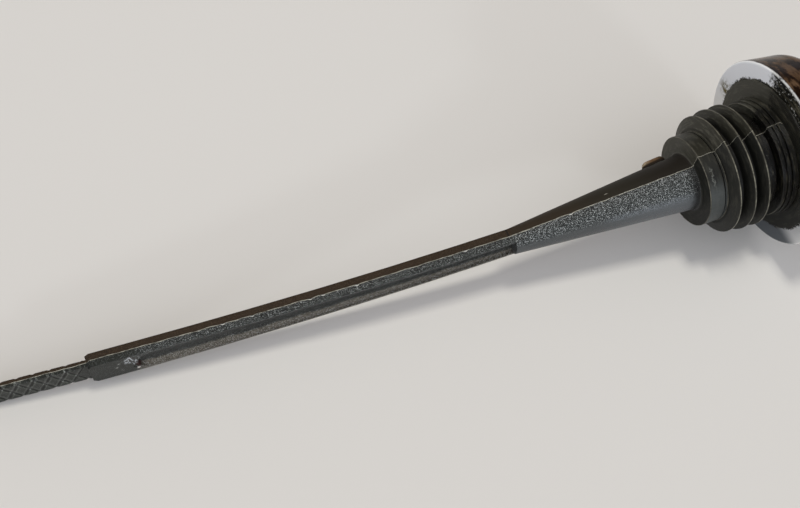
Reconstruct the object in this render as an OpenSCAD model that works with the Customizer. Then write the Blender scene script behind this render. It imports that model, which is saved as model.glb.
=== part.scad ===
// Engine oil dipstick: a finned filler plug, a tapered shank and a flat fluted stick moulded in one
// piece, with a chromed cap on its head. It lies as it comes to rest, on the cap's rim and on the
// lower edge of the blade. Along the stick, x grows towards the cap and is 0 at the plug's front face,
// z is across the wide faces and y is through the thickness.

/* [Chrome cap] */
// Diameter of the cap over its rim
cap_d = 52.4; // [48:0.1:58]
// Height of the cap from its rim face to the top of the dome
cap_h = 16; // [14:0.5:20]
// How far the cap's side leans in from the rim to the shoulder
side_lean = 1.1; // [0.2:0.1:2.5]
// Radius of the rounded shoulder
shoulder_r = 6; // [4.5:0.5:7]
// Radius of the domed top
dome_r = 170; // [140:5:400]
// Radius of the rounded rim edge
rim_edge_r = 0.6; // [0.3:0.1:1]
// Thickness of the cap's metal, whose inside the moulding fills
skin_t = 3.5; // [2.8:0.1:4.2]

/* [Plug] */
// Diameter of the smooth land at the front of the plug
land_d = 25; // [23:0.1:26.5]
// Length of the land
land_len = 4.3; // [3:0.1:4.4]
// Width of the thin groove behind the land
land_groove_w = 0.35; // [0.2:0.05:0.4]
// Depth of the thin groove behind the land
land_groove_depth = 0.5; // [0.2:0.1:1]
// Width of the bead behind the groove
bead_w = 0.55; // [0.4:0.05:0.6]
// Diameter of the core between the fins
core_d = 26.8; // [25:0.1:28]
// Crest diameter of the first sealing fin
first_fin_d = 32.6; // [30:0.1:34]
// Crest diameter of the second sealing fin
second_fin_d = 33.8; // [31:0.1:35]
// Crest diameter of the third sealing fin
third_fin_d = 34; // [31:0.1:35]
// Distance from the front face to the first crest
first_fin_at = 6.65; // [6.6:0.05:7]
// Distance from one crest to the next
fin_pitch = 4.05; // [3.8:0.05:4.2]
// Length of a fin's sloping front, from its root to its crest
fin_slope_len = 1.5; // [1.1:0.1:2]
// Width of a fin's crest
crest_w = 0.45; // [0.3:0.05:0.6]
// Length of the short back of a fin
fin_back_len = 0.4; // [0.2:0.1:0.8]
// Diameter of the collar behind the fins
collar_d = 31.8; // [29:0.1:33]
// Distance from the front face to the collar's front edge
collar_at = 19.6; // [18.6:0.1:20]
// Length of each of the collar's three bands
collar_band_len = 1.1; // [0.8:0.1:1.2]
// Growth in radius from one band of the collar to the next
collar_step = 0.25; // [0.1:0.05:0.5]
// Width and depth of the fine grooves between the bands
collar_groove = 0.3; // [0.2:0.05:0.4]
// Width of the cap's flat underside around the flange
rim_w = 5.1; // [4.4:0.1:6.6]
// Distance from the front face to the flange's face
flange_at = 24.4; // [24:0.1:26]
// How far the flange's face stands proud of the cap's rim face
flange_proud = 0.4; // [0.1:0.1:1]

/* [Shank] */
// Diameter of the round shank at the plug
shank_root_d = 15.6; // [14:0.1:18]
// Diameter of the round shank at its thin end
shank_end_d = 6.9; // [6.4:0.1:8]
// Length of the round shank
shank_len = 51.6; // [45:0.2:60]
// Radius of the fillet between shank and plug
shank_fillet_r = 0.8; // [0.4:0.1:1.5]
// Diameter of the moulding gate's stub on the shank
gate_d = 3.2; // [2:0.1:4]
// Length of the gate's stub
gate_len = 7; // [5:0.2:8]
// Distance from the front face to the middle of the gate's stub
gate_at = 5.6; // [5:0.1:14]
// How far the gate's stub stands out of the shank
gate_proud = 2; // [1:0.1:2.4]

/* [Flat stick] */
// Radius of the stick's gentle bow
bow_r = 1760; // [1200:20:6000]
// Distance from the front face to where the bow begins
bow_from = 35; // [20:1:44]
// Width of the fluted bar at the shank
bar_root_w = 6.7; // [6.2:0.1:8]
// Width of the fluted bar at the solid block
bar_end_w = 9.4; // [8.6:0.1:11]
// Thickness of the fluted bar at the shank
bar_root_t = 4.3; // [3.6:0.1:4.6]
// Thickness of the fluted bar at the solid block
bar_end_t = 3.6; // [3:0.1:4]
// Length of the fluted stretch
bar_len = 99.4; // [60:0.2:140]
// Length of the solid block before the blade
block_len = 11.5; // [8:0.5:20]
// Chamfer on the corners of the block's free end
block_chamfer = 1; // [0.4:0.1:1.4]
// Chamfer along the four long edges of bar and block
edge_chamfer = 0.35; // [0.1:0.05:0.6]

/* [Flutes] */
// Thickness of the web between the two flutes
web_t = 1.5; // [1.2:0.1:2]
// Radius of the rounded bottom of a flute
flute_r = 8; // [5:0.1:10]
// Width of the ledge left along each side of a flute
ledge_w = 0.6; // [0.4:0.1:1.4]
// Length of the gouge beside the front flute's far end
gouge_len = 3.2; // [2:0.1:4]
// Depth of the gouge
gouge_depth = 0.45; // [0.2:0.05:0.6]

/* [Blade] */
// Width of the blade
blade_w = 7.4; // [6:0.1:8]
// Thickness of the blade
blade_t = 1.8; // [1.4:0.1:2.4]
// Length of the blade
blade_len = 36.5; // [28:0.5:60]
// Distance between crossings of the measuring grooves
cross_pitch = 3.9; // [3:0.1:6]
// Angle of the measuring grooves to the blade's length
cross_angle = 62; // [50:1:72]
// Width of a measuring groove
cross_w = 1.1; // [0.6:0.1:1.6]
// Depth of a measuring groove
cross_depth = 0.2; // [0.1:0.05:0.5]

/* [Hidden] */
$fn = 96;
bow_fn = 1440;
eps = 0.01;

cap_r = cap_d / 2;
cap_top_r = cap_r - side_lean;
flange_d = cap_d - 2 * rim_w;
rim_at = flange_at + flange_proud;
cap_end = rim_at + cap_h;
shank_slope = (shank_root_d - shank_end_d) / 2 / shank_len;
shoulder_c = cap_top_r - shoulder_r;
fin_ds = [first_fin_d, second_fin_d, third_fin_d];
bead_at = land_len + land_groove_w;
bands = [0, 1, 2];

// Stations along the stick, measured from the front face away from the cap
bar_end = shank_len + bar_len;
block_end = bar_end + block_len;
tip = block_end + blade_len;
blade_mid = (block_end + tip) / 2;

// Each wide face is a part of a circle whose centre is moved along the stick, which thins the bar
thinning = (bar_root_t - bar_end_t) / 2 / (sin(bow_angle(bar_end)) - sin(bow_angle(shank_len)));
face_out = bar_root_t / 2 + thinning * sin(bow_angle(shank_len));
flare = atan((bar_end_w - bar_root_w) / 2 / bar_len);
through = 2 * (bow_r * (1 - cos(bow_angle(tip))) + bar_root_t);

// The shoulder's centre lies where its arc meets both the tapering side and the dome
shoulder_at = cap_end - shoulder_r - dome_drop(shoulder_c);

// At rest the rim's rounded edge and the tip's rounded end touch the same floor
rim_centre_at = rim_at + rim_edge_r;
rim_centre_r = cap_r - rim_edge_r;
tip_centre_at = -bow_from - bow_r * sin(bow_angle(blade_mid))
    - (blade_len - blade_w) / 2 * cos(bow_angle(blade_mid));
span = rim_centre_at - tip_centre_at;
rest_tilt = atan2(rim_centre_r, span)
    - asin((blade_w / 2 - rim_edge_r) / norm([span, rim_centre_r]));
floor_z = tip_centre_at * sin(rest_tilt) - blade_w / 2;
low_x = tip_centre_at * cos(rest_tilt) - blade_w / 2;
high_x = shoulder_at * cos(rest_tilt) + shoulder_c * sin(rest_tilt) + shoulder_r;

// How far a dome of the cap's radius has dropped at a distance r from the axis
function dome_drop(r) = dome_r - sqrt(dome_r * dome_r - r * r);

// Angle of the bow at a station s from the front face
function bow_angle(s) = (s - bow_from) / bow_r * 180 / PI;

// Half the bar's width at a station, growing evenly from shank to block
function bar_half(s) = (bar_root_w + (bar_end_w - bar_root_w) * (s - shank_len) / bar_len) / 2;

// Places its children, which lie along x, at rest on the floor with the model centred
module at_rest() {
    translate([-(low_x + high_x) / 2, 0, -floor_z]) rotate([0, -rest_tilt, 0]) children();
}

// Turns an outline of radius against station into a solid along x
module turned() {
    rotate([0, 90, 0]) rotate([0, 0, 180]) rotate_extrude() children();
}

// Places its children on the bowed middle line, with x along the stick
module on_bow(s) {
    translate([-bow_from - bow_r * sin(bow_angle(s)), bow_r * (1 - cos(bow_angle(s))), 0])
        rotate([0, 0, -bow_angle(s)]) children();
}

// A solid swept along the bow from an outline of distance outwards against height
module along_bow(from, to) {
    translate([-bow_from, bow_r, 0]) rotate([0, 0, 270 - bow_angle(to)])
        rotate_extrude(angle = bow_angle(to) - bow_angle(from), $fn = bow_fn) children();
}

// Disc whose rim is one wide face of the bar
module bow_disc(side) {
    translate([-bow_from + side * thinning, bow_r, 0])
        cylinder(r = bow_r + side * face_out, h = bar_end_w + 2, center = true, $fn = bow_fn);
}

// Cuts the chamfer along one long edge, which runs outwards as the bar grows wider
module edge_cut(side, up) {
    from = shank_len - 3;
    to = block_end + 4;
    translate([-bow_from + side * thinning, bow_r, up * bar_half(bow_from - side * thinning)])
        rotate([0, up * flare, 270 - bow_angle(to)])
            rotate_extrude(angle = bow_angle(to) - bow_angle(from), $fn = bow_fn)
                translate([bow_r + side * face_out, 0]) rotate(45)
                    square(sqrt(2) * edge_chamfer, center = true);
}

// Sealing fin: a sloping front, a narrow crest and a steep back
module fin_outline(at, d) {
    polygon([[0, at - fin_slope_len], [core_d / 2, at - fin_slope_len],
        [d / 2, at - crest_w / 2], [d / 2, at + crest_w / 2],
        [core_d / 2, at + crest_w / 2 + fin_back_len], [0, at + crest_w / 2 + fin_back_len]]);
}

// A plain disc in outline, from one station to another
module disc_outline(d, from, to) {
    translate([0, from]) square([d / 2, to - from]);
}

// Land, thin groove and bead at the front of the plug
module land_outline() {
    disc_outline(land_d, 0, land_len);
    disc_outline(land_d - 2 * land_groove_depth, 0, bead_at);
    disc_outline(land_d, bead_at, bead_at + bead_w);
    disc_outline(land_d - 2 * land_groove_depth, bead_at, collar_at);
}

// Three bands of the collar, each a little larger than the last, with fine grooves between
module collar_outline() {
    disc_outline(collar_d - 2 * collar_groove, collar_at, flange_at + eps);
    for (i = bands) {
        at = collar_at + i * (collar_band_len + collar_groove);
        disc_outline(collar_d + 2 * i * collar_step, at, at + collar_band_len);
    }
}

// Flange and head: the moulding fills the cap and comes out of its mouth as the flange
module head_outline() {
    disc_outline(flange_d, flange_at, rim_at + skin_t + eps);
    dome_outline(skin_t, rim_at + skin_t);
}

module plug_outline() {
    land_outline();
    disc_outline(core_d, first_fin_at, collar_at - collar_groove);
    for (i = [0 : len(fin_ds) - 1]) fin_outline(first_fin_at + i * fin_pitch, fin_ds[i]);
    collar_outline();
    head_outline();
}

// Round shank with a small fillet against the plug's front face
module shank() {
    translate([-shank_len, 0, 0]) rotate([0, 90, 0])
        cylinder(d1 = shank_end_d, d2 = shank_root_d, h = shank_len);
    turned() difference() {
        translate([0, -shank_fillet_r]) square([shank_root_d / 2 + shank_fillet_r, shank_fillet_r + eps]);
        translate([shank_root_d / 2 + shank_fillet_r, -shank_fillet_r]) circle(shank_fillet_r);
    }
}

// Stub of the moulding gate, a rounded rod lying against the back of the shank
module gate_stub() {
    r = gate_d / 2;
    half = gate_len / 2 - r;
    shank_r = shank_root_d / 2 - shank_slope * gate_at;
    translate([-gate_at, shank_r + gate_proud - r, 0])
        rotate([0, 0, atan(shank_slope)]) {
            rotate([0, 90, 0]) cylinder(r = r, h = 2 * half, center = true, $fn = 48);
            for (end = [-half, half]) translate([end, 0, 0]) sphere(r, $fn = 48);
        }
}

// Side view of bar and block: tapering edges, then the block with its free corners cut off
module stick_outline() {
    e = bar_end_w / 2;
    root = shank_len - 3;
    polygon([[-root, bar_half(root)], [-bar_end, e], [-(block_end - block_chamfer), e],
        [-block_end, e - block_chamfer], [-block_end, block_chamfer - e],
        [-(block_end - block_chamfer), -e], [-bar_end, -e], [-root, -bar_half(root)]]);
}

module bar_and_block() {
    difference() {
        intersection() {
            bow_disc(1);
            rotate([90, 0, 0]) linear_extrude(height = through, center = true) stick_outline();
        }
        bow_disc(-1);
        for (side = [-1, 1], up = [-1, 1]) edge_cut(side, up);
    }
}

// Side view of one flute: square at the shank, rounded at the block, inside even ledges
module flute_outline() {
    root = bar_half(shank_len) - ledge_w;
    far = bar_end_w / 2 - ledge_w;
    far_at = bar_end - far;
    polygon([[-shank_len, root], [-far_at, far], [-far_at, -far], [-shank_len, -root]]);
    translate([-far_at, 0]) circle(far);
}

// Cuts one flute; side 1 is the bar's outer face and side -1 the face inside the bow
module flute(side) {
    intersection() {
        along_bow(shank_len - 1, bar_end + 1)
            intersection() {
                translate([bow_r + side * (web_t / 2 + flute_r), 0]) circle(flute_r, $fn = 128);
                translate([bow_r + side * (web_t / 2 + flute_r / 2), 0])
                    square([flute_r, bar_end_w], center = true);
            }
        rotate([90, 0, 0]) linear_extrude(height = through, center = true) flute_outline();
    }
}

// Leaning gouge with rounded ends in the block's front face
module gouge() {
    r = 2 * gouge_depth;
    half = gouge_len / 2 - r / 2;
    on_bow(bar_end + 0.2) translate([0, gouge_depth - r - bar_end_t / 2, -0.9]) rotate([0, 25, 0]) {
        cylinder(r = r, h = 2 * half, center = true, $fn = 32);
        for (end = [-half, half]) translate([0, 0, end]) sphere(r, $fn = 32);
    }
}

// Thin blade with a full round tip
module blade() {
    on_bow(blade_mid) rotate([90, 0, 0]) linear_extrude(height = blade_t, center = true) {
        translate([-(blade_len / 2 - blade_w / 2), -blade_w / 2]) square([blade_len - blade_w / 2 + 3, blade_w]);
        translate([-(blade_len / 2 - blade_w / 2), 0]) circle(d = blade_w);
    }
}

// One measuring groove across the front face of the blade
module cross_groove(lean) {
    translate([0, -blade_t / 2, 0]) rotate([0, lean, 0])
        linear_extrude(height = 2 * blade_w, center = true)
            polygon([[-cross_w, -cross_depth], [cross_w, -cross_depth], [0, cross_depth]]);
}

// Crossed grooves that mark the oil level, on both faces of the blade
module cross_grooves() {
    reach = blade_w / 2 / tan(cross_angle) + cross_w;
    first = block_end + reach;
    last = tip - blade_w / 2 - cross_pitch / 2;
    on_bow(blade_mid)
        for (s = [first : cross_pitch : last], face = [0, 1], lean = [90 - cross_angle, cross_angle - 90])
            translate([blade_mid - s, 0, 0]) mirror([0, face, 0]) cross_groove(lean);
}

module plug_and_stick() {
    color("#4a4843") at_rest() difference() {
        union() {
            turned() plug_outline();
            shank();
            gate_stub();
            bar_and_block();
            blade();
        }
        flute(1);
        flute(-1);
        gouge();
        cross_grooves();
    }
}

// Tapering side, round shoulder and slight dome, moved inwards by a skin
module dome_outline(skin, from) {
    intersection() {
        union() {
            polygon([[0, from], [cap_r - skin, from], [cap_top_r - skin, shoulder_at],
                [shoulder_c, shoulder_at], [shoulder_c, cap_end + 1], [0, cap_end + 1]]);
            translate([shoulder_c, shoulder_at]) circle(shoulder_r - skin);
        }
        translate([0, cap_end - dome_r]) circle(dome_r - skin, $fn = bow_fn);
        translate([0, from]) square([cap_d, cap_h]);
    }
}

// Outline of the whole cap, with its flat underside and rounded rim
module cap_outline() {
    dome_outline(0, rim_centre_at);
    translate([0, rim_at]) square([rim_centre_r, rim_edge_r + eps]);
    translate([rim_centre_r, rim_centre_at]) circle(rim_edge_r, $fn = 48);
}

module chrome_cap() {
    color("#c9ccd0") at_rest() turned() difference() {
        cap_outline();
        head_outline();
    }
}

plug_and_stick();
chrome_cap();
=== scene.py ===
"""Looks of the engine oil dipstick: finishes, the mould seam, dirt and nicks, floor, light and camera."""

import math
import random

import bpy
from mathutils import Matrix, Vector, noise


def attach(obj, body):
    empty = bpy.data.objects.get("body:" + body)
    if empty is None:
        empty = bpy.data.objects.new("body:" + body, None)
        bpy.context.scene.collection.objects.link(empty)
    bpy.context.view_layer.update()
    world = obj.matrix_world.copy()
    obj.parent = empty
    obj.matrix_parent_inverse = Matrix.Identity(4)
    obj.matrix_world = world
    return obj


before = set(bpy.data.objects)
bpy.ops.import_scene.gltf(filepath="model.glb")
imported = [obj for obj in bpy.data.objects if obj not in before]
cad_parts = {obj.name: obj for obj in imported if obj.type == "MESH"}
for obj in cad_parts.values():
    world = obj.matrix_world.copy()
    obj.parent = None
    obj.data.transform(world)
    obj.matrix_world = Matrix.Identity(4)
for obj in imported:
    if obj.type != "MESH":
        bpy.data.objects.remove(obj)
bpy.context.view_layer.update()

MM = 0.001

# The stick's own frame: x along it towards the cap and 0 at the plug's front face, z across its wide
# faces, y through its thickness. It is tilted and moved as in the part's source.
TILT = math.radians(5.8226)
PLACE = Vector((78.145, 0.0, 23.491)) * MM

# The bow of the flat stick, in millimetres
BOW_R = 1760.0
BOW_FROM = 35.0

# Stations from the front face, away from the cap, and half widths across the stick, in millimetres
SHANK_LEN, SHANK_ROOT_R, SHANK_END_R = 51.6, 7.8, 3.45
BAR_END, BAR_ROOT, BAR_FAR = 151.0, 3.35, 4.7
BLOCK_END = 162.5
TIP, BLADE = 199.0, 3.7

# The measuring grooves: first crossing, distance between crossings, lean from straight across
CROSS_FIRST, CROSS_PITCH, CROSS_LEAN = 165.57, 3.9, math.radians(28)

# Torn places of the flash, and burrs on the back's upper edge: station, out from the middle line, z
KINKS = (-128.9, -121.5, -106.6, -103.2, -94.3, -64.9, -35.3)
BURRS = ((177.2, 0.9, 3.7), (169.4, 0.9, 3.7), (165.5, 0.9, 3.7), (163.4, 0.9, 3.7),
         (154.6, 1.8, 4.7))

# Outline of the plug in the parting plane: place along the axis and radius
LAND_R = 12.5
CORE_R = 13.4
FINS = ((6.65, 16.3), (10.7, 16.9), (14.75, 17.0))
FIN_SLOPE, FIN_CREST, FIN_BACK = 1.5, 0.22, 0.62
GROOVE_AT, NECK_END = 5.15, 19.5
COLLAR = ((19.6, 15.9), (20.7, 15.9), (21.0, 16.15), (22.1, 16.15), (22.4, 16.4), (23.5, 16.4))
FLANGE_AT, FLANGE_R, FLANGE_ROOT_R = 24.4, 21.1, 15.6
RIM_AT, RIM_R = 24.8, 26.2

# Marks on the block as (x, z), with the radii between which each fades out, and small chips
SCUFFS = (((-152.4, 2.4), 0.8, 2.6), ((-151.4, -0.4), 0.3, 1.3))
RED_PIT, PALE_CHIP = (-151.0, -1.6), (-151.2, -3.0)
CHIPS = ((-156.2, 0.1), (-155.4, 2.0), (-155.0, -2.1))

# Marks on the back of the bar, (x, z), and of the shank, (x, angle), and a glint on a fin, (x, angle)
BACK_HOLE, BACK_SPECK, GLINT = (-52.7, 3.1), (-24.4, -17.0), (7.5, 29.0)

# The photograph's camera in the row frame: place in millimetres, angles in degrees, lens in pixels
CAMERA_AT = Vector((-92.85, -119.18, 282.52))
AZIMUTH, ELEVATION, ROLL = 35.909, 59.772, 15.782
FOCAL_PX, FRAME_PX, SENSOR_MM = 1200.0, 800.0, 36.0


def stick_matrix():
    """Takes a point of the stick's frame, in metres, to the row frame."""
    return Matrix.Translation(PLACE) @ Matrix.Rotation(-TILT, 4, "Y")


STICK = stick_matrix()


def in_row(x, y, z):
    """A point of the stick's frame, in millimetres, as a row-frame point in metres."""
    return STICK @ (Vector((x, y, z)) * MM)


def on_bow(station, out=0.0, z=0.0):
    """A point beside the bowed middle line, in millimetres of the stick's frame."""
    angle = max(0.0, station - BOW_FROM) / BOW_R
    reach = min(station, BOW_FROM) + BOW_R * math.sin(angle)
    sag = BOW_R * (1 - math.cos(angle))
    return Vector((-reach + out * math.sin(angle), sag + out * math.cos(angle), z))


def make_camera():
    """The photograph's view: a long lens looking down at the stick, turned so that it runs uphill."""
    azimuth, elevation, roll = (math.radians(angle) for angle in (AZIMUTH, ELEVATION, ROLL))
    data = bpy.data.cameras.new("camera")
    data.sensor_width = SENSOR_MM
    data.lens = FOCAL_PX / FRAME_PX * SENSOR_MM
    data.clip_start = 0.01
    camera = bpy.data.objects.new("camera", data)
    bpy.context.scene.collection.objects.link(camera)
    turn = Matrix.Rotation(-azimuth, 4, "Z") @ Matrix.Rotation(math.pi / 2 - elevation, 4, "X")
    camera.matrix_world = (Matrix.Translation(CAMERA_AT * MM)
                           @ turn @ Matrix.Rotation(roll, 4, "Z"))
    bpy.context.scene.camera = camera
    return camera


class Nodes:
    """A small helper that adds shader nodes and links them by name."""

    def __init__(self, name):
        self.material = bpy.data.materials.new(name)
        self.material.use_nodes = True
        self.tree = self.material.node_tree
        self.bsdf = self.tree.nodes["Principled BSDF"]

    def add(self, kind, **settings):
        node = self.tree.nodes.new(kind)
        for key, value in settings.items():
            setattr(node, key, value)
        return node

    def link(self, source, target):
        self.tree.links.new(source, target)

    def put(self, socket, value):
        if isinstance(value, bpy.types.NodeSocket):
            self.link(value, socket)
        else:
            socket.default_value = value

    def math(self, operation, *values, clamp=False):
        node = self.add("ShaderNodeMath", operation=operation, use_clamp=clamp)
        for socket, value in zip(node.inputs, values):
            self.put(socket, value)
        return node.outputs[0]

    def times(self, *values):
        out = values[0]
        for value in values[1:]:
            out = self.math("MULTIPLY", out, value)
        return out

    def plus(self, a, b):
        return self.math("ADD", a, b)

    def minus(self, a, b):
        return self.math("SUBTRACT", a, b)

    def rest(self, share):
        """What a share leaves of 1."""
        return self.minus(1.0, share)

    def ramp(self, value, low, high):
        """0 below low and 1 above high, with a smooth change between."""
        node = self.add("ShaderNodeMapRange", interpolation_type="SMOOTHSTEP")
        self.put(node.inputs["Value"], value)
        first, last = (0.0, 1.0) if low < high else (1.0, 0.0)
        node.inputs["From Min"].default_value = min(low, high)
        node.inputs["From Max"].default_value = max(low, high)
        node.inputs["To Min"].default_value = first
        node.inputs["To Max"].default_value = last
        return node.outputs[0]

    def within(self, value, low, high, soft):
        """1 between low and high, fading out over soft on either side."""
        return self.times(self.ramp(value, low - soft, low + soft),
                          self.ramp(value, high + soft, high - soft))

    def mix(self, share, first, second):
        node = self.add("ShaderNodeMix", data_type="RGBA")
        self.put(node.inputs[0], share)
        self.put(node.inputs[6], first)
        self.put(node.inputs[7], second)
        return node.outputs[2]

    def noise(self, vector, scale, detail=3.0, roughness=0.55):
        node = self.add("ShaderNodeTexNoise")
        self.link(vector, node.inputs["Vector"])
        node.inputs["Scale"].default_value = scale
        node.inputs["Detail"].default_value = detail
        node.inputs["Roughness"].default_value = roughness
        return node.outputs["Fac"]

    def vector(self, x, y, z):
        node = self.add("ShaderNodeCombineXYZ")
        for socket, value in zip(node.inputs, (x, y, z)):
            self.put(socket, value)
        return node.outputs[0]

    def stick_place(self):
        """Coordinates in the stick's frame, in millimetres: the vector, x, y, z, radius and angle.

        The angle about the stick's axis is in degrees, 0 at the top and growing towards -y.
        """
        coords = self.add("ShaderNodeTexCoord")
        mapping = self.add("ShaderNodeMapping")
        mapping.inputs["Scale"].default_value = (1 / MM,) * 3
        mapping.inputs["Rotation"].default_value = (0.0, TILT, 0.0)
        back = STICK.inverted() @ Vector((0.0, 0.0, 0.0))
        mapping.inputs["Location"].default_value = back / MM
        self.link(coords.outputs["Object"], mapping.inputs["Vector"])
        place = mapping.outputs["Vector"]
        split = self.add("ShaderNodeSeparateXYZ")
        self.link(place, split.inputs[0])
        x, y, z = split.outputs
        radius = self.math("SQRT", self.plus(self.times(y, y), self.times(z, z)))
        angle = self.math("DEGREES", self.math("ARCTAN2", self.times(y, -1.0), z))
        return place, x, y, z, radius, angle

    def near(self, a, b, at, inner, outer):
        """1 close to the point at in the plane of a and b, and 0 from outer on."""
        da, db = self.minus(a, at[0]), self.minus(b, at[1])
        gone = self.math("SQRT", self.plus(self.times(da, da), self.times(db, db)))
        return self.ramp(gone, outer, inner)

    def largest(self, *values):
        out = values[0]
        for value in values[1:]:
            out = self.math("MAXIMUM", out, value)
        return out


def linear(value):
    value /= 255
    return value / 12.92 if value <= 0.04045 else ((value + 0.055) / 1.055) ** 2.4


def rgb(red, green, blue):
    """A colour given as the eye reads it, 0 to 255, in the renderer's linear form."""
    return (linear(red), linear(green), linear(blue), 1.0)


def streaks(n, x, radius, angle):
    """Streaks that run round the collar and the flange, as a height."""
    fan = n.vector(n.times(angle, 0.07), n.times(radius, 1.3), n.times(x, 1.3))
    return n.noise(fan, 1.0, 5.0, 0.7)


def grime(n, place, angle):
    """Where the black oil lies on collar, flange and rim: from the top to the -y side, ragged."""
    ragged = n.times(n.minus(n.noise(place, 0.9, 4.0, 0.7), 0.5), 26.0)
    shifted = n.plus(angle, ragged)
    return n.within(shifted, -24.0, 92.0, 4.0)


def measuring_marks(n, x, z):
    """How near a place on the blade is to the crossed grooves: the grooves, their flanks, the crossings."""
    along = n.minus(0.2 - CROSS_FIRST, x)
    gaps = []
    for way in (1.0, -1.0):
        turns = n.math("DIVIDE", n.plus(along, n.times(z, way * math.tan(CROSS_LEAN))), CROSS_PITCH)
        gap = n.times(n.math("PINGPONG", turns, 0.5), CROSS_PITCH * math.cos(CROSS_LEAN))
        gaps.append(n.plus(gap, n.times(n.ramp(turns, 0.0, -0.6), 9.0)))
    line = n.largest(*[n.ramp(gap, 0.42, 0.16) for gap in gaps])
    lit_flank = n.largest(*[n.within(gap, 0.5, 0.75, 0.2) for gap in gaps])
    crossing_glint = n.times(n.ramp(gaps[0], 1.0, 0.3), n.ramp(gaps[1], 1.0, 0.3))
    blade = n.times(n.ramp(x, -BLOCK_END - 0.1, -BLOCK_END - 0.5), n.ramp(x, -TIP + 3.2, -TIP + 4.2))
    return n.times(line, blade), n.times(lit_flank, blade), n.times(crossing_glint, blade)


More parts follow.
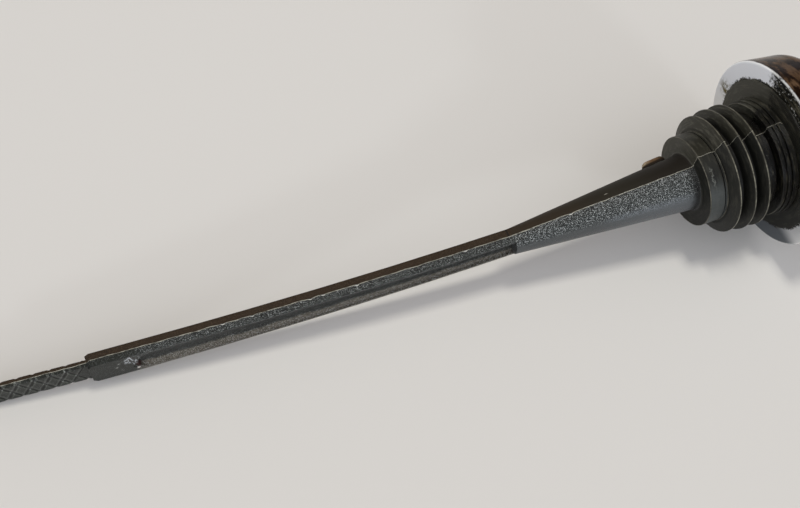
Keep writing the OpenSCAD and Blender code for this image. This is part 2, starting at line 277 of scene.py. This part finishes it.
def moulded_plastic():
    """Dark moulding: smooth and brownish behind the parting plane, spark-textured grey before it."""
    n = Nodes("moulded_plastic")
    place, x, y, z, radius, angle = n.stick_place()

    past = n.math("MAXIMUM", n.minus(n.times(x, -1.0), BOW_FROM), 0.0)
    bow = n.math("DIVIDE", n.times(past, past), 2 * BOW_R)
    wobble = n.times(n.minus(n.noise(place, 0.35), 0.5), 0.3)
    front = n.ramp(n.minus(n.plus(bow, wobble), y), -0.06, 0.06)
    plug = n.ramp(x, -0.35, -0.1)
    stick = n.rest(plug)
    bar = n.ramp(x, -SHANK_LEN + 0.2, -SHANK_LEN - 0.2)
    shank = n.rest(bar)
    far = n.ramp(x, -BAR_END + 3.0, -BAR_END - 2.0)
    fluted = n.times(bar, n.rest(far))

    grain = n.noise(place, 3.7, 4.0, 0.75)
    blur = n.noise(place, 0.9, 4.0, 0.7)
    cloud = n.noise(place, 0.14, 4.0, 0.6)
    lines = streaks(n, x, radius, angle)
    sparks = n.times(front, stick, n.rest(n.times(far, 0.8)))

    # Brown back, redder towards the tip and greener on the shank
    back_tone = n.mix(n.ramp(x, -5.0, -24.0), rgb(24, 19, 11), rgb(38, 34, 24))
    back_tone = n.mix(n.ramp(x, -22.0, -44.0), back_tone, rgb(48, 38, 25))
    back_tone = n.mix(n.times(cloud, 0.4), back_tone, rgb(22, 18, 12))
    back_tone = n.mix(n.times(bar, 0.9), back_tone, n.mix(blur, rgb(34, 21, 8), rgb(48, 35, 19)))
    back_tone = n.mix(n.times(bar, n.ramp(grain, 0.5, 0.62), 0.3), back_tone, rgb(92, 78, 62))
    back_tone = n.mix(n.times(bar, n.ramp(grain, 0.47, 0.38), 0.4), back_tone, rgb(12, 8, 4))
    front_tone = n.mix(cloud, rgb(34, 37, 36), rgb(48, 51, 49))
    front_tone = n.mix(n.times(bar, 0.45), front_tone, rgb(15, 18, 16))
    front_tone = n.mix(far, front_tone, n.mix(blur, rgb(13, 16, 12), rgb(29, 32, 27)))

    # Painted shade in the bar's valley, painted light on its lower strip, and the smooth lower half of the
    # shank painted lighter as a reflection of the floor
    sway = n.plus(z, n.times(n.minus(n.noise(place, 0.2), 0.5), 1.6))
    # Painted light on the lower strip of the bar's front
    lit_lower_strip = n.times(fluted, n.ramp(sway, -1.4, -2.3))
    front_tone = n.mix(n.times(lit_lower_strip, n.plus(0.3, blur)), front_tone, rgb(104, 97, 85))
    # Painted shade in the bar's valley
    valley_shade = n.times(fluted, n.within(sway, -1.6, 1.9, 0.6))
    front_tone = n.mix(n.times(valley_shade, 0.9), front_tone, rgb(11, 14, 12))
    # Painted reflection of the floor: the smooth lower half of the shank is a lighter grey, lighter still
    # towards the plug
    smooth = n.times(shank, n.ramp(angle, 44.0, 68.0))
    painted_sheen = n.mix(n.ramp(x, -34.0, -8.0), rgb(75, 77, 77), rgb(86, 89, 91))
    front_tone = n.mix(smooth, front_tone, painted_sheen)
    # Painted shade along the shank's top beside the seam
    crown_shade = n.times(n.ramp(angle, 26.0, 6.0), shank)
    front_tone = n.mix(n.times(crown_shade, 0.4), front_tone, rgb(10, 11, 10))

    # A painted highlight band beside the plug, where the texture ends
    highlight_band = n.times(n.within(angle, 50.0, 64.0, 9.0), n.within(x, -26.0, -3.0, 3.0))
    highlight_band = n.times(highlight_band, n.ramp(grain, 0.42, 0.6))
    front_tone = n.mix(n.times(highlight_band, 0.4), front_tone, rgb(132, 140, 148))

    # Painted shade in the corner beside the plug
    corner_shade = n.times(n.ramp(n.plus(x, n.times(blur, 1.6)), -2.6, 0.5), stick, front)

    # Sparks of the mould's texture: dark pits, and pale grains painted as the texture's glints
    textured = n.times(*[n.rest(n.times(share, strength)) for share, strength in (
        (smooth, 0.95), (bar, 0.35), (far, 0.75), (valley_shade, 0.55))])
    grain_glints = n.times(n.ramp(grain, 0.53, 0.62), textured)
    front_tone = n.mix(n.times(grain_glints, 0.85), front_tone, rgb(190, 194, 193))
    pits = n.times(n.ramp(grain, 0.47, 0.4), textured)
    front_tone = n.mix(n.times(pits, 0.9), front_tone, rgb(8, 8, 8))
    # Dark grains within the painted light of the lower strip
    front_tone = n.mix(n.times(lit_lower_strip, n.ramp(grain, 0.5, 0.4), 0.6), front_tone, rgb(34, 32, 28))

    # Measuring grooves: painted shade in the grooves, painted light on their flanks and painted glints at
    # the crossings
    line, lit_flank, crossing_glint = measuring_marks(n, x, z)
    front_tone = n.mix(n.times(lit_flank, 0.5, blur), front_tone, rgb(132, 136, 126))
    front_tone = n.mix(n.times(crossing_glint, n.ramp(grain, 0.5, 0.58), 0.8), front_tone, rgb(186, 190, 186))
    # Painted shade in the grooves
    front_tone = n.mix(n.times(line, 0.8), front_tone, rgb(13, 13, 12))

    # Glossy scuffs beside the gouge, with a red-brown pit, and small chips
    slanted = n.vector(n.times(x, 1.5), y, n.plus(n.times(z, 0.6), n.times(x, -0.5)))
    rub = n.noise(slanted, 1.0, 4.0, 0.7)
    scuff = n.times(n.largest(*[n.near(x, z, *mark) for mark in SCUFFS]), front)
    front_tone = n.mix(n.times(scuff, n.ramp(rub, 0.5, 0.6)), front_tone, rgb(190, 194, 198))
    front_tone = n.mix(n.times(scuff, n.ramp(rub, 0.46, 0.38)), front_tone, rgb(14, 13, 12))
    front_tone = n.mix(n.near(x, z, RED_PIT, 0.4, 1.1), front_tone, rgb(42, 15, 11))
    front_tone = n.mix(n.near(x, z, PALE_CHIP, 0.2, 0.6), front_tone, rgb(200, 196, 190))
    chips = n.largest(*[n.near(x, z, at, 0.15, 0.5) for at in CHIPS])
    front_tone = n.mix(n.times(chips, n.ramp(grain, 0.48, 0.54)), front_tone, rgb(176, 176, 172))
    back_tone = n.mix(n.near(x, z, BACK_HOLE, 0.2, 0.45), back_tone, rgb(6, 5, 5))
    back_tone = n.mix(n.near(x, angle, BACK_SPECK, 0.3, 0.7), back_tone, rgb(190, 186, 172))

    # Plug: greener behind, streaked down the slopes, with painted shade between the fins
    plug_tone = n.mix(cloud, rgb(20, 20, 17), rgb(37, 37, 33))
    behind = n.mix(cloud, rgb(33, 32, 25), rgb(54, 52, 43))
    plug_tone = n.mix(front, behind, plug_tone)
    # Painted light on the back halves of the disc face and the flange face
    disc_or_flange = n.largest(n.ramp(x, 0.5, 0.2), n.ramp(x, 23.4, 23.8))
    plug_tone = n.mix(n.times(n.rest(front), disc_or_flange, 0.5), plug_tone, rgb(72, 70, 61))
    streaky = n.minus(0.55, n.times(front, 0.35))
    plug_tone = n.mix(n.times(n.ramp(lines, 0.48, 0.64), streaky), plug_tone, rgb(84, 82, 71))
    # Painted shade in the gaps between the fins
    grooves = n.times(n.ramp(radius, 15.8, 13.9), n.within(x, 7.2, 19.4, 0.2))
    plug_tone = n.mix(n.times(grooves, 0.85), plug_tone, rgb(7, 7, 6))

    # The land: painted shade above and a painted reflection below, with a nick, a dent and a painted glint
    # on the fin beside it
    land = n.within(x, 0.2, 5.0, 0.3)
    # Painted shade on the land's upper part
    shaded = n.times(land, n.ramp(angle, 20.0, -10.0))
    plug_tone = n.mix(n.times(shaded, 0.4), plug_tone, rgb(24, 24, 19))
    # Painted reflection on the land's lower part
    lit_land_below = n.times(land, n.within(angle, 42.0, 112.0, 14.0), n.ramp(radius, 12.0, 12.3))
    plug_tone = n.mix(n.times(lit_land_below, n.plus(0.35, n.times(blur, 0.5))), plug_tone, rgb(78, 82, 81))
    bent = n.plus(x, n.times(n.minus(blur, 0.5), 3.0))
    nick = n.times(n.within(bent, 1.6, 1.8, 0.2), n.within(angle, 18.0, 40.0, 4.0))
    plug_tone = n.mix(n.times(nick, 0.6), plug_tone, rgb(128, 130, 124))
    dent = n.times(n.within(bent, 2.1, 2.5, 0.2), n.within(angle, 18.0, 40.0, 4.0))
    plug_tone = n.mix(n.times(dent, 0.7), plug_tone, rgb(14, 14, 13))
    glint = n.near(x, angle, GLINT, 0.2, 0.9)
    plug_tone = n.mix(n.times(glint, n.ramp(grain, 0.45, 0.55)), plug_tone, rgb(222, 222, 216))
    # Painted shade in the corner beside the plug
    front_tone = n.mix(n.times(corner_shade, 0.85), front_tone, rgb(13, 12, 10))
    tone = n.mix(front, back_tone, front_tone)
    tone = n.mix(plug, tone, plug_tone)

    # Pale lines along the fins' crests and the land's edges: partly wear, partly painted highlights that
    # are brighter on the front
    crests = [n.near(x, radius, at, 0.04, 0.24) for at in FINS]
    edges = [n.near(x, radius, at, 0.04, 0.22) for at in ((0.0, LAND_R), (5.2, LAND_R), COLLAR[0])]
    patchy = n.ramp(n.noise(place, 0.35, 4.0, 0.7), 0.36, 0.64)
    lit = n.plus(0.55, n.times(front, 0.45))
    worn = n.times(n.largest(*crests, *edges), n.plus(0.2, n.times(patchy, 0.8)), lit)
    tone = n.mix(n.times(worn, 0.85), tone, rgb(136, 132, 116))

    # The broken gate's stub on the back of the shank, amber at its end and dark beside the plug
    cone = n.plus(SHANK_ROOT_R, n.times(x, (SHANK_ROOT_R - SHANK_END_R) / SHANK_LEN))
    height = n.minus(radius, cone)
    stub = n.times(n.ramp(height, 0.2, 0.5), n.within(x, -9.6, -1.5, 0.3), n.ramp(y, 0.0, 2.0))
    amber = n.mix(n.ramp(x, -9.2, -6.4), rgb(172, 156, 130), rgb(112, 87, 62))
    amber = n.mix(n.ramp(x, -5.6, -3.0), amber, rgb(64, 50, 34))
    amber = n.mix(n.ramp(height, 1.3, 0.6), amber, rgb(38, 29, 20))
    amber = n.mix(n.times(n.ramp(n.noise(place, 2.2, 4.0, 0.7), 0.5, 0.6), 0.5), amber, rgb(46, 33, 21))
    tone = n.mix(stub, tone, amber)

    # Old oil on the collar and the flange, streaked, with painted glints on a few drops
    film = n.times(grime(n, place, angle), n.ramp(x, 15.6, 18.5))
    thin_oil = n.mix(n.ramp(x, 22.5, 23.8), rgb(9, 8, 7), rgb(29, 28, 23))
    oil = n.mix(n.ramp(lines, 0.5, 0.7), thin_oil, rgb(66, 63, 51))
    tone = n.mix(n.times(film, 0.9), tone, oil)
    # Painted glints on a few oil drops
    drop_glints = n.times(film, n.ramp(grain, 0.66, 0.7), n.ramp(blur, 0.5, 0.6))
    tone = n.mix(drop_glints, tone, rgb(214, 214, 206))
    n.link(tone, n.bsdf.inputs["Base Color"])

    rough = n.minus(0.33, n.times(sparks, 0.07))
    rough = n.plus(rough, n.times(plug, 0.1))
    rough = n.plus(rough, n.times(cloud, 0.12))
    rough = n.plus(rough, n.times(n.rest(front), stick, 0.25))
    rough = n.minus(rough, n.times(n.largest(film, scuff), 0.2))
    n.link(n.math("ADD", rough, n.times(stub, 0.3), clamp=True), n.bsdf.inputs["Roughness"])
    n.bsdf.inputs["Specular IOR Level"].default_value = 0.2

    bevel = n.add("ShaderNodeBevel", samples=6)
    bevel.inputs["Radius"].default_value = 0.3 * MM
    bump = n.add("ShaderNodeBump")
    bump.inputs["Distance"].default_value = 0.12 * MM
    depth = n.largest(n.times(sparks, 0.95), stub, 0.08)
    n.link(depth, bump.inputs["Strength"])
    n.link(grain, bump.inputs["Height"])
    n.link(bevel.outputs[0], bump.inputs["Normal"])
    oily = n.add("ShaderNodeBump")
    oily.inputs["Distance"].default_value = 0.4 * MM
    n.link(n.largest(n.times(film, 0.9), n.times(plug, 0.15)), oily.inputs["Strength"])
    n.link(lines, oily.inputs["Height"])
    n.link(bump.outputs[0], oily.inputs["Normal"])
    n.link(oily.outputs[0], n.bsdf.inputs["Normal"])
    return n.material


def chrome_plate():
    """Bright chrome: satin underside with a brown stain, black oil and painted reflections, polished side
    with an oily film that is also a painted reflection.
    """
    n = Nodes("chrome_plate")
    place, x, y, z, radius, angle = n.stick_place()
    under = n.ramp(x, RIM_AT + 0.5, RIM_AT + 0.15)

    # Brown oil film round the side, thick at the top and thin underneath; its brown and dark patches are
    # also a painted reflection of a brown room
    swirl = n.noise(n.vector(n.times(angle, 0.055), n.times(x, 0.24), n.times(radius, 0.24)), 1.0, 4.0, 0.6)
    top = n.within(angle, -95.0, 75.0, 12.0)
    fade = n.ramp(n.plus(x, n.times(swirl, -9.0)), RIM_AT + 11.0, RIM_AT + 5.0)
    film = n.times(n.plus(n.times(top, 0.95), 0.05), n.plus(0.12, n.times(fade, 0.88)))
    brown = n.mix(n.ramp(swirl, 0.44, 0.58), rgb(26, 15, 9), rgb(118, 92, 68))
    brown = n.mix(n.ramp(swirl, 0.58, 0.7), brown, rgb(138, 116, 94))
    # Painted reflection: darker towards the back, and darker by the rim
    brown = n.mix(n.times(n.ramp(angle, 8.0, -16.0), 0.55), brown, rgb(24, 13, 8))
    rim_darkening = n.times(n.ramp(x, RIM_AT + 5.5, RIM_AT + 2.0), n.ramp(swirl, 0.6, 0.5))
    brown = n.mix(n.times(rim_darkening, 0.85), brown, rgb(22, 12, 7))
    tone = n.mix(film, rgb(218, 219, 221), brown)
    # Painted reflection of the shadowed floor: the satin underside darker towards the bottom
    low = n.plus(n.times(n.ramp(z, -9.0, -15.0), 0.85), n.times(n.ramp(z, 12.0, -8.0), 0.1))
    satin = n.mix(low, rgb(228, 229, 231), rgb(84, 89, 94))
    tone = n.mix(under, tone, satin)

    blotch = n.noise(place, 0.9, 4.0, 0.7)
    stain = n.times(n.near(y, z, (22.3, 0.5), 0.6, 4.2), n.ramp(blotch, 0.36, 0.55), under)
    tone = n.mix(stain, tone, rgb(92, 82, 46))
    # Painted highlight along the rim's edge, on two arcs
    below = n.math("ABSOLUTE", n.minus(angle, 130.0))
    arcs = n.largest(n.within(angle, -78.0, 4.0, 6.0), n.ramp(below, 52.0, 40.0))
    edge = n.times(n.near(x, radius, (RIM_AT + 0.35, RIM_R - 0.35), 0.12, 0.45), arcs)
    edge = n.times(edge, n.ramp(blotch, 0.34, 0.5))

    lines = streaks(n, x, radius, angle)
    black = n.times(grime(n, place, angle), under)
    ragged = n.plus(radius, n.times(n.minus(n.noise(place, 0.7, 5.0, 0.8), 0.5), 3.4))
    lip = n.times(n.ramp(ragged, FLANGE_R + 0.75, FLANGE_R + 0.35), under)
    black = n.largest(black, lip)
    fine = n.noise(place, 1.8, 4.0, 0.7)
    oil = n.mix(n.ramp(lines, 0.5, 0.66), rgb(11, 10, 8), rgb(88, 84, 68))
    # Painted glints on a few drops in the black oil
    drop_glints = n.times(n.ramp(fine, 0.6, 0.66), n.ramp(blotch, 0.5, 0.58))
    oil = n.mix(drop_glints, oil, rgb(226, 226, 220))
    tone = n.mix(black, tone, oil)
    # Painted highlight along the rim's edge
    tone = n.mix(n.times(edge, 0.9), tone, rgb(236, 236, 232))
    n.link(tone, n.bsdf.inputs["Base Color"])
    dull = n.largest(black, n.times(stain, 0.8), n.times(film, 0.93), n.times(edge, 0.8),
                     n.times(low, under, 0.7))
    n.link(n.rest(dull), n.bsdf.inputs["Metallic"])
    rough = n.plus(0.07, n.times(film, fine, 0.25))
    rough = n.plus(rough, n.times(under, 0.22))
    n.link(rough, n.bsdf.inputs["Roughness"])
    n.bsdf.inputs["Specular IOR Level"].default_value = 0.05
    bump = n.add("ShaderNodeBump")
    bump.inputs["Distance"].default_value = 0.02 * MM
    bump.inputs["Strength"].default_value = 0.4
    n.link(fine, bump.inputs["Height"])
    oily = n.add("ShaderNodeBump")
    oily.inputs["Distance"].default_value = 0.35 * MM
    n.link(n.times(black, 0.8), oily.inputs["Strength"])
    n.link(lines, oily.inputs["Height"])
    n.link(bump.outputs[0], oily.inputs["Normal"])
    n.link(oily.outputs[0], n.bsdf.inputs["Normal"])
    return n.material


def seam_plastic():
    """The thin flash where the mould's halves met, paler where it is worn."""
    n = Nodes("seam_plastic")
    place, x = n.stick_place()[:2]
    wear = n.ramp(n.noise(place, 0.7, 4.0, 0.7), 0.32, 0.6)
    torn = n.largest(*[n.within(x, at - 0.5, at + 0.4, 0.25) for at in KINKS])
    tone = n.mix(wear, rgb(78, 75, 64), rgb(172, 168, 152))
    n.link(n.mix(n.times(torn, 0.9), tone, rgb(226, 224, 214)), n.bsdf.inputs["Base Color"])
    n.link(n.plus(0.35, n.times(wear, 0.2)), n.bsdf.inputs["Roughness"])
    n.bsdf.inputs["Specular IOR Level"].default_value = 0.5
    return n.material


def dress(name, material):
    """Gives a CAD node its finish."""
    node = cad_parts[name]
    node.data.materials.clear()
    node.data.materials.append(material)


def resampled(outline, step):
    """Points every step along an outline, each with the outward normal on the left of its way."""
    points = []
    for (x0, z0), (x1, z1) in zip(outline, outline[1:]):
        run = math.hypot(x1 - x0, z1 - z0)
        if run < 1e-6:
            continue
        normal = (-(z1 - z0) / run, (x1 - x0) / run)
        count = max(1, round(run / step))
        for i in range(count + 1):
            share = i / count
            points.append((x0 + (x1 - x0) * share, z0 + (z1 - z0) * share, normal))
    return points


def stick_seam():
    """Half outline of blade, block, bar and shank in the parting plane, from the tip to the plug."""
    arc = [(-TIP + BLADE - BLADE * math.cos(a), BLADE * math.sin(a))
           for a in (math.radians(d) for d in range(20, 91, 10))]
    return arc + [(-BLOCK_END, BLADE), (-BLOCK_END + 1, BAR_FAR), (-BAR_END, BAR_FAR),
                  (-SHANK_LEN, BAR_ROOT), (-SHANK_LEN, SHANK_END_R), (-0.8, SHANK_ROOT_R - 0.07),
                  (-0.23, SHANK_ROOT_R + 0.2), (0.0, SHANK_ROOT_R + 0.8)]


def plug_seam():
    """Half outline of disc face, land, fins, collar and flange face, from the shank outwards."""
    outline = [(0.0, SHANK_ROOT_R + 0.8), (0.0, LAND_R), (GROOVE_AT, LAND_R), (GROOVE_AT, CORE_R)]
    for at, radius in FINS:
        outline += [(at - FIN_SLOPE, CORE_R), (at - FIN_CREST, radius), (at + FIN_CREST, radius),
                    (at + FIN_BACK, CORE_R)]
    return outline + [(NECK_END, CORE_R), *COLLAR, (23.6, FLANGE_ROOT_R), (FLANGE_AT, FLANGE_ROOT_R)]


def flash_ridge(vertices, faces, points, side, width, height, seed, kinks=()):
    """Adds one thin ridge along the points; side is 1 on the stick's top and -1 underneath.

    At a kink, a place along the stick, the ridge is torn: it rises higher and leans to one side.
    """
    chance = random.Random(seed)
    phase = chance.uniform(0, 50)
    start = len(vertices)
    for i, (x, z, (nx, nz)) in enumerate(points):
        way = i * 0.11 + phase
        sway = 0.16 * noise.noise(Vector((way, 0, 0))) + 0.05 * noise.noise(Vector((way * 5, 3, 0)))
        rise = height * max(0.25, 0.8 + 0.9 * noise.noise(Vector((way * 2.2, 7, 0))))
        torn = sum(math.exp(-((x - at) / 0.45) ** 2) for at in kinks)
        sway -= 0.3 * torn
        rise += 0.22 * torn
        base = on_bow(-x) if x < -BOW_FROM else Vector((x, 0.0, 0.0))
        for across, out in ((-width / 2, -0.06), (0.02 * chance.uniform(-1, 1), rise), (width / 2, -0.06)):
            vertices.append(in_row(base.x + nx * out, base.y + sway + across, side * (z + nz * out)))
    for i in range(len(points) - 1):
        a = start + 3 * i
        for k in (0, 1):
            quad = (a + k, a + k + 1, a + k + 4, a + k + 3)
            faces.append(quad if side > 0 else quad[::-1])
    faces.append((start, start + 1, start + 2))
    end = start + 3 * (len(points) - 1)
    faces.append((end + 2, end + 1, end))


def burr(vertices, faces, station, out, z, length, height, seed):
    """Adds a small ragged burr on the back's upper edge."""
    chance = random.Random(seed)
    start = len(vertices)
    steps = 6
    for i in range(steps + 1):
        share = i / steps
        rise = height * math.sin(math.pi * share) * chance.uniform(0.7, 1.2) - 0.05
        for across, up in ((-0.6, -0.15), (-0.2, rise), (0.02, -0.5), (-0.3, -0.6)):
            vertices.append(in_row(*on_bow(station + length * (share - 0.5), out + across, z + up)))
    for i in range(steps):
        a = start + 4 * i
        for k in range(4):
            m = (k + 1) % 4
            faces.append((a + k, a + m, a + m + 4, a + k + 4))
    faces.append((start + 3, start + 2, start + 1, start))
    end = start + 4 * steps
    faces.append((end, end + 1, end + 2, end + 3))


def worn_piece(name, vertices, faces, material):
    """A mesh that rides on the part, with the given material."""
    mesh = bpy.data.meshes.new(name)
    mesh.from_pydata(vertices, [], faces)
    mesh.update()
    piece = bpy.data.objects.new(name, mesh)
    bpy.context.scene.collection.objects.link(piece)
    mesh.materials.append(material)
    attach(piece, "root")
    return piece


def edge_burrs(material):
    """Ragged burrs the trimming left on the back's upper edge."""
    vertices, faces = [], []
    for seed, (station, out, z) in enumerate(BURRS):
        burr(vertices, faces, station, out, z, 1.7, 0.4, seed)
    return worn_piece("edge_burrs", vertices, faces, material)


def mould_seam():
    """The flash all along the parting plane, a hair thick, wavy and uneven."""
    vertices, faces = [], []
    flash_ridge(vertices, faces, resampled(stick_seam(), 0.35), 1, 0.26, 0.14, 3, KINKS)
    flash_ridge(vertices, faces, resampled(plug_seam(), 0.25), 1, 0.2, 0.1, 5)
    under = [p for p in resampled(stick_seam(), 0.5) if p[0] > -BAR_END + 2]
    flash_ridge(vertices, faces, under, -1, 0.3, 0.12, 8)
    flash_ridge(vertices, faces, resampled(plug_seam(), 0.3), -1, 0.28, 0.12, 9)
    return worn_piece("mould_seam", vertices, faces, seam_plastic())


def make_floor():
    """A plain pale floor."""
    size = 4.0
    mesh = bpy.data.meshes.new("floor")
    mesh.from_pydata([(-size, -size, 0), (size, -size, 0), (size, size, 0), (-size, size, 0)], [],
                     [(0, 1, 2, 3)])
    floor = bpy.data.objects.new("floor", mesh)
    bpy.context.scene.collection.objects.link(floor)
    n = Nodes("floor")
    n.bsdf.inputs["Base Color"].default_value = rgb(212, 209, 204)
    n.bsdf.inputs["Roughness"].default_value = 0.9
    n.bsdf.inputs["Specular IOR Level"].default_value = 0.1
    floor.data.materials.append(n.material)
    return floor


def area_light(name, at, towards, size, power, colour=(1.0, 1.0, 1.0)):
    data = bpy.data.lights.new(name, "AREA")
    data.shape = "RECTANGLE"
    data.size, data.size_y = size
    data.energy = power
    data.color = colour
    lamp = bpy.data.objects.new(name, data)
    bpy.context.scene.collection.objects.link(lamp)
    lamp.location = at
    lamp.rotation_euler = (Vector(towards) - Vector(at)).to_track_quat("-Z", "Y").to_euler()
    return lamp


def make_room():
    """A pale room with a dim brown ceiling behind the stick."""
    world = bpy.data.worlds.new("world")
    bpy.context.scene.world = world
    world.use_nodes = True
    tree = world.node_tree

    def add(kind, **settings):
        node = tree.nodes.new(kind)
        for key, value in settings.items():
            setattr(node, key, value)
        return node

    def ramp(value, low, high):
        node = add("ShaderNodeMapRange", interpolation_type="SMOOTHSTEP")
        tree.links.new(value, node.inputs["Value"])
        node.inputs["From Min"].default_value, node.inputs["From Max"].default_value = low, high
        return node.outputs[0]

    def mix(share, first, second):
        node = add("ShaderNodeMix", data_type="RGBA")
        tree.links.new(share, node.inputs[0])
        for socket, value in ((node.inputs[6], first), (node.inputs[7], second)):
            if isinstance(value, bpy.types.NodeSocket):
                tree.links.new(value, socket)
            else:
                socket.default_value = value
        return node.outputs[2]

    coords = add("ShaderNodeTexCoord")
    towards = add("ShaderNodeVectorMath", operation="DOT_PRODUCT")
    tree.links.new(coords.outputs["Generated"], towards.inputs[0])
    towards.inputs[1].default_value = Vector((0.3, 0.55, 0.78)).normalized()
    clutter = add("ShaderNodeTexNoise")
    tree.links.new(coords.outputs["Generated"], clutter.inputs["Vector"])
    clutter.inputs["Scale"].default_value = 5.0
    clutter.inputs["Detail"].default_value = 3.0
    ceiling = mix(ramp(clutter.outputs["Fac"], 0.42, 0.6), (0.035, 0.025, 0.018, 1), (0.24, 0.15, 0.09, 1))
    room = mix(ramp(towards.outputs["Value"], 0.66, 0.88), (0.8, 0.82, 0.88, 1), ceiling)
    tree.links.new(room, tree.nodes["Background"].inputs["Color"])
    tree.nodes["Background"].inputs["Strength"].default_value = 1.0


def make_light():
    """A small soft lamp almost straight above, a weak cool window in front, and the room."""
    make_room()
    area_light("window", (0.42, -1.0, 0.5), (0.05, 0.0, 0.02), (0.2, 0.1), 1.7, (0.88, 0.94, 1.0))
    area_light("overhead", (-0.02, 0.09, 1.0), (0.0, 0.0, 0.0), (0.16, 0.16), 4.05, (1.0, 0.98, 0.91))


make_camera()
plastic = moulded_plastic()
dress("plug_and_stick", plastic)
dress("chrome_cap", chrome_plate())
mould_seam()
edge_burrs(plastic)
make_floor()
make_light()
bpy.context.scene.view_settings.view_transform = "Standard"
